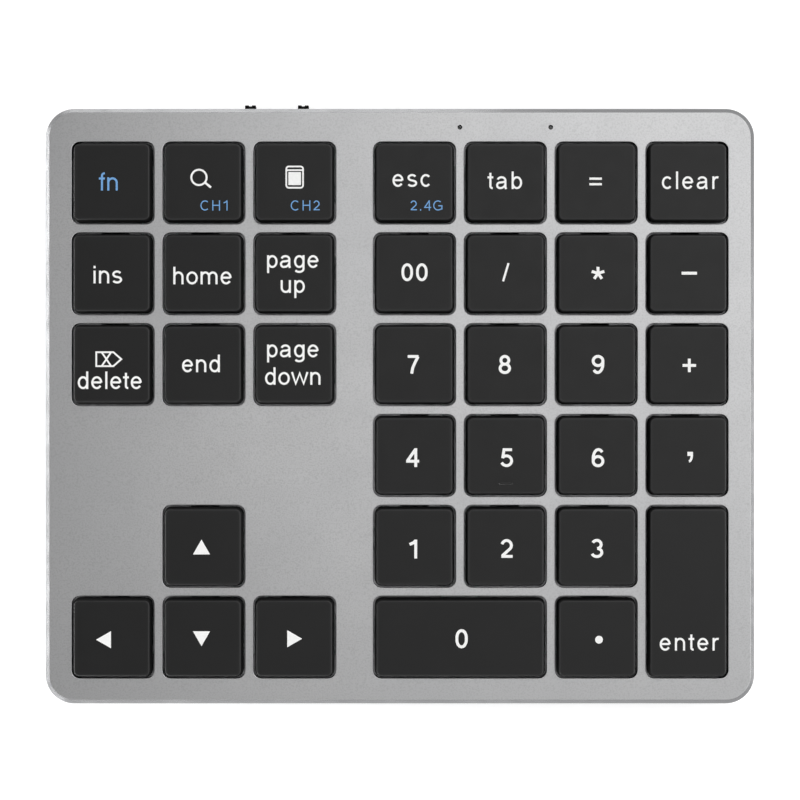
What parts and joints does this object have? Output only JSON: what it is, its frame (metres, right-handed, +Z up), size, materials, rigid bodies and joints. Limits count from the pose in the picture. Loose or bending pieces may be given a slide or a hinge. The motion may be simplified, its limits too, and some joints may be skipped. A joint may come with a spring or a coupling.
{
  "type": "numeric keypad",
  "caption": "Wireless numeric keypad with navigation and arrow keys, low scissor-guided keycaps in an aluminium cover on a wedge-shaped case.",
  "frame": {"origin": "middle of the keypad's footprint, knobs included, on the surface that its feet stand on", "axes": "+X to the user's right, +Y to the rear edge with the switches, +Z up; the deck rises 3 degrees to the rear"},
  "size_m": [0.1484, 0.1262, 0.0147],
  "materials": {
    "keycap": "matte black moulded plastic with a fine texture",
    "anodised_aluminium": "bead-blasted and anodised, satin space grey, cut edges brighter",
    "case_plastic": "matte grey moulded plastic with a fine spark texture",
    "plate_steel": "zinc-plated sheet steel",
    "membrane_film": "printed polyester film, slightly cloudy",
    "dome_silicone": "translucent silicone",
    "circuit_board": "green solder mask over glass laminate",
    "battery_pouch": "matte laminated foil pouch",
    "lead_insulation": "satin flexible insulation",
    "port_shell": "nickel-plated, satin",
    "switch_plastic": "black glass-filled nylon, satin",
    "clear_plastic": "clear moulded acrylic",
    "spring_steel": "drawn spring wire, bright",
    "foot_rubber": "matte black rubber",
    "screw_steel": "zinc-plated machine screw",
    "scissor_nylon": "natural white moulded nylon",
    "spacer_film": "clear polyester film under the domes",
    "chip_epoxy": "black moulded epoxy",
    "socket_nylon": "cream moulded nylon",
    "gold_contact": "gold-plated contacts",
    "legend_white": "white printed legend",
    "legend_blue": "light blue printed legend"
  },
  "bodies": {
    "base": {"top_cover": "anodised_aluminium", "bottom_case": "case_plastic", "key_plate": "plate_steel", "membrane_circuit": "membrane_film", "dome_sheet": "dome_silicone", "controller_board": "circuit_board", "battery": "battery_pouch", "battery_lead": "lead_insulation", "usb_port": "port_shell", "power_switch_body": "switch_plastic", "mode_switch_body": "switch_plastic", "light_pipe_left": "clear_plastic", "light_pipe_right": "clear_plastic", "foot_front_left": "foot_rubber", "foot_front_right": "foot_rubber", "foot_rear_left": "foot_rubber", "foot_rear_right": "foot_rubber", "screw_front_left": "screw_steel", "screw_front_right": "screw_steel", "screw_rear_left": "screw_steel", "screw_rear_right": "screw_steel"},
    "key_fn": {"key_fn": "keycap"},
    "key_search": {"key_search": "keycap"},
    "key_calculator": {"key_calculator": "keycap"},
    "key_escape": {"key_escape": "keycap"},
    "key_tab": {"key_tab": "keycap"},
    "key_equals": {"key_equals": "keycap"},
    "key_clear": {"key_clear": "keycap"},
    "key_insert": {"key_insert": "keycap"},
    "key_home": {"key_home": "keycap"},
    "key_page_up": {"key_page_up": "keycap"},
    "key_double_zero": {"key_double_zero": "keycap"},
    "key_divide": {"key_divide": "keycap"},
    "key_multiply": {"key_multiply": "keycap"},
    "key_minus": {"key_minus": "keycap"},
    "key_delete": {"key_delete": "keycap"},
    "key_end": {"key_end": "keycap"},
    "key_page_down": {"key_page_down": "keycap"},
    "key_7": {"key_7": "keycap"},
    "key_8": {"key_8": "keycap"},
    "key_9": {"key_9": "keycap"},
    "key_plus": {"key_plus": "keycap"},
    "key_4": {"key_4": "keycap"},
    "key_5": {"key_5": "keycap"},
    "key_6": {"key_6": "keycap"},
    "key_comma": {"key_comma": "keycap"},
    "key_arrow_up": {"key_arrow_up": "keycap"},
    "key_1": {"key_1": "keycap"},
    "key_2": {"key_2": "keycap"},
    "key_3": {"key_3": "keycap"},
    "key_enter": {"key_enter": "keycap"},
    "key_arrow_left": {"key_arrow_left": "keycap"},
    "key_arrow_down": {"key_arrow_down": "keycap"},
    "key_arrow_right": {"key_arrow_right": "keycap"},
    "key_0": {"key_0": "keycap"},
    "key_point": {"key_point": "keycap"},
    "power_knob": {"power_switch_knob": "switch_plastic"},
    "mode_knob": {"mode_switch_knob": "switch_plastic"},
    "stabiliser_zero": {"stabiliser_bar_zero": "spring_steel"},
    "stabiliser_enter": {"stabiliser_bar_enter": "spring_steel"}
  },
  "joints": [
    {"name": "key_fn_press", "type": "slide", "parent": "base", "child": "key_fn", "axis": [0, 0.0523, -0.9986], "range_m": [0, 0.0017], "stiffness_N_per_m": 300, "springref_m": -0.0005, "deforming": ["dome_sheet"]},
    {"name": "key_search_press", "type": "slide", "parent": "base", "child": "key_search", "axis": [0, 0.0523, -0.9986], "range_m": [0, 0.0017], "stiffness_N_per_m": 300, "springref_m": -0.0005, "deforming": ["dome_sheet"]},
    {"name": "key_calculator_press", "type": "slide", "parent": "base", "child": "key_calculator", "axis": [0, 0.0523, -0.9986], "range_m": [0, 0.0017], "stiffness_N_per_m": 300, "springref_m": -0.0005, "deforming": ["dome_sheet"]},
    {"name": "key_escape_press", "type": "slide", "parent": "base", "child": "key_escape", "axis": [0, 0.0523, -0.9986], "range_m": [0, 0.0017], "stiffness_N_per_m": 300, "springref_m": -0.0005, "deforming": ["dome_sheet"]},
    {"name": "key_tab_press", "type": "slide", "parent": "base", "child": "key_tab", "axis": [0, 0.0523, -0.9986], "range_m": [0, 0.0017], "stiffness_N_per_m": 300, "springref_m": -0.0005, "deforming": ["dome_sheet"]},
    {"name": "key_equals_press", "type": "slide", "parent": "base", "child": "key_equals", "axis": [0, 0.0523, -0.9986], "range_m": [0, 0.0017], "stiffness_N_per_m": 300, "springref_m": -0.0005, "deforming": ["dome_sheet"]},
    {"name": "key_clear_press", "type": "slide", "parent": "base", "child": "key_clear", "axis": [0, 0.0523, -0.9986], "range_m": [0, 0.0017], "stiffness_N_per_m": 300, "springref_m": -0.0005, "deforming": ["dome_sheet"]},
    {"name": "key_insert_press", "type": "slide", "parent": "base", "child": "key_insert", "axis": [0, 0.0523, -0.9986], "range_m": [0, 0.0017], "stiffness_N_per_m": 300, "springref_m": -0.0005, "deforming": ["dome_sheet"]},
    {"name": "key_home_press", "type": "slide", "parent": "base", "child": "key_home", "axis": [0, 0.0523, -0.9986], "range_m": [0, 0.0017], "stiffness_N_per_m": 300, "springref_m": -0.0005, "deforming": ["dome_sheet"]},
    {"name": "key_page_up_press", "type": "slide", "parent": "base", "child": "key_page_up", "axis": [0, 0.0523, -0.9986], "range_m": [0, 0.0017], "stiffness_N_per_m": 300, "springref_m": -0.0005, "deforming": ["dome_sheet"]},
    {"name": "key_double_zero_press", "type": "slide", "parent": "base", "child": "key_double_zero", "axis": [0, 0.0523, -0.9986], "range_m": [0, 0.0017], "stiffness_N_per_m": 300, "springref_m": -0.0005, "deforming": ["dome_sheet"]},
    {"name": "key_divide_press", "type": "slide", "parent": "base", "child": "key_divide", "axis": [0, 0.0523, -0.9986], "range_m": [0, 0.0017], "stiffness_N_per_m": 300, "springref_m": -0.0005, "deforming": ["dome_sheet"]},
    {"name": "key_multiply_press", "type": "slide", "parent": "base", "child": "key_multiply", "axis": [0, 0.0523, -0.9986], "range_m": [0, 0.0017], "stiffness_N_per_m": 300, "springref_m": -0.0005, "deforming": ["dome_sheet"]},
    {"name": "key_minus_press", "type": "slide", "parent": "base", "child": "key_minus", "axis": [0, 0.0523, -0.9986], "range_m": [0, 0.0017], "stiffness_N_per_m": 300, "springref_m": -0.0005, "deforming": ["dome_sheet"]},
    {"name": "key_delete_press", "type": "slide", "parent": "base", "child": "key_delete", "axis": [0, 0.0523, -0.9986], "range_m": [0, 0.0017], "stiffness_N_per_m": 300, "springref_m": -0.0005, "deforming": ["dome_sheet"]},
    {"name": "key_end_press", "type": "slide", "parent": "base", "child": "key_end", "axis": [0, 0.0523, -0.9986], "range_m": [0, 0.0017], "stiffness_N_per_m": 300, "springref_m": -0.0005, "deforming": ["dome_sheet"]},
    {"name": "key_page_down_press", "type": "slide", "parent": "base", "child": "key_page_down", "axis": [0, 0.0523, -0.9986], "range_m": [0, 0.0017], "stiffness_N_per_m": 300, "springref_m": -0.0005, "deforming": ["dome_sheet"]},
    {"name": "key_7_press", "type": "slide", "parent": "base", "child": "key_7", "axis": [0, 0.0523, -0.9986], "range_m": [0, 0.0017], "stiffness_N_per_m": 300, "springref_m": -0.0005, "deforming": ["dome_sheet"]},
    {"name": "key_8_press", "type": "slide", "parent": "base", "child": "key_8", "axis": [0, 0.0523, -0.9986], "range_m": [0, 0.0017], "stiffness_N_per_m": 300, "springref_m": -0.0005, "deforming": ["dome_sheet"]},
    {"name": "key_9_press", "type": "slide", "parent": "base", "child": "key_9", "axis": [0, 0.0523, -0.9986], "range_m": [0, 0.0017], "stiffness_N_per_m": 300, "springref_m": -0.0005, "deforming": ["dome_sheet"]},
    {"name": "key_plus_press", "type": "slide", "parent": "base", "child": "key_plus", "axis": [0, 0.0523, -0.9986], "range_m": [0, 0.0017], "stiffness_N_per_m": 300, "springref_m": -0.0005, "deforming": ["dome_sheet"]},
    {"name": "key_4_press", "type": "slide", "parent": "base", "child": "key_4", "axis": [0, 0.0523, -0.9986], "range_m": [0, 0.0017], "stiffness_N_per_m": 300, "springref_m": -0.0005, "deforming": ["dome_sheet"]},
    {"name": "key_5_press", "type": "slide", "parent": "base", "child": "key_5", "axis": [0, 0.0523, -0.9986], "range_m": [0, 0.0017], "stiffness_N_per_m": 300, "springref_m": -0.0005, "deforming": ["dome_sheet"]},
    {"name": "key_6_press", "type": "slide", "parent": "base", "child": "key_6", "axis": [0, 0.0523, -0.9986], "range_m": [0, 0.0017], "stiffness_N_per_m": 300, "springref_m": -0.0005, "deforming": ["dome_sheet"]},
    {"name": "key_comma_press", "type": "slide", "parent": "base", "child": "key_comma", "axis": [0, 0.0523, -0.9986], "range_m": [0, 0.0017], "stiffness_N_per_m": 300, "springref_m": -0.0005, "deforming": ["dome_sheet"]},
    {"name": "key_arrow_up_press", "type": "slide", "parent": "base", "child": "key_arrow_up", "axis": [0, 0.0523, -0.9986], "range_m": [0, 0.0017], "stiffness_N_per_m": 300, "springref_m": -0.0005, "deforming": ["dome_sheet"]},
    {"name": "key_1_press", "type": "slide", "parent": "base", "child": "key_1", "axis": [0, 0.0523, -0.9986], "range_m": [0, 0.0017], "stiffness_N_per_m": 300, "springref_m": -0.0005, "deforming": ["dome_sheet"]},
    {"name": "key_2_press", "type": "slide", "parent": "base", "child": "key_2", "axis": [0, 0.0523, -0.9986], "range_m": [0, 0.0017], "stiffness_N_per_m": 300, "springref_m": -0.0005, "deforming": ["dome_sheet"]},
    {"name": "key_3_press", "type": "slide", "parent": "base", "child": "key_3", "axis": [0, 0.0523, -0.9986], "range_m": [0, 0.0017], "stiffness_N_per_m": 300, "springref_m": -0.0005, "deforming": ["dome_sheet"]},
    {"name": "key_enter_press", "type": "slide", "parent": "base", "child": "key_enter", "axis": [0, 0.0523, -0.9986], "range_m": [0, 0.0017], "stiffness_N_per_m": 300, "springref_m": -0.0005, "deforming": ["dome_sheet"]},
    {"name": "key_arrow_left_press", "type": "slide", "parent": "base", "child": "key_arrow_left", "axis": [0, 0.0523, -0.9986], "range_m": [0, 0.0017], "stiffness_N_per_m": 300, "springref_m": -0.0005, "deforming": ["dome_sheet"]},
    {"name": "key_arrow_down_press", "type": "slide", "parent": "base", "child": "key_arrow_down", "axis": [0, 0.0523, -0.9986], "range_m": [0, 0.0017], "stiffness_N_per_m": 300, "springref_m": -0.0005, "deforming": ["dome_sheet"]},
    {"name": "key_arrow_right_press", "type": "slide", "parent": "base", "child": "key_arrow_right", "axis": [0, 0.0523, -0.9986], "range_m": [0, 0.0017], "stiffness_N_per_m": 300, "springref_m": -0.0005, "deforming": ["dome_sheet"]},
    {"name": "key_0_press", "type": "slide", "parent": "base", "child": "key_0", "axis": [0, 0.0523, -0.9986], "range_m": [0, 0.0017], "stiffness_N_per_m": 300, "springref_m": -0.0005, "deforming": ["dome_sheet"]},
    {"name": "key_point_press", "type": "slide", "parent": "base", "child": "key_point", "axis": [0, 0.0523, -0.9986], "range_m": [0, 0.0017], "stiffness_N_per_m": 300, "springref_m": -0.0005, "deforming": ["dome_sheet"]},
    {"name": "power_switch_slide", "type": "slide", "parent": "base", "child": "power_knob", "axis": [1, 0, 0], "range_m": [0, 0.002]},
    {"name": "mode_switch_slide", "type": "slide", "parent": "base", "child": "mode_knob", "axis": [1, 0, 0], "range_m": [0, 0.002]},
    {"name": "stabiliser_zero_swing", "type": "hinge", "parent": "base", "child": "stabiliser_zero", "pos_m": [0.01252, -0.0484, 0.00531], "axis": [-1, 0, 0], "range_deg": [0, 17.32]},
    {"name": "stabiliser_enter_swing", "type": "hinge", "parent": "base", "child": "stabiliser_enter", "pos_m": [0.06065, -0.03954, 0.00577], "axis": [0, 0.9986, 0.0523], "range_deg": [0, 17.32]}
  ],
  "couplings": [
    {"joint": "stabiliser_zero_swing", "follows": "key_0_press", "rad_per_m": 173.71},
    {"joint": "stabiliser_enter_swing", "follows": "key_enter_press", "rad_per_m": 173.71}
  ]
}
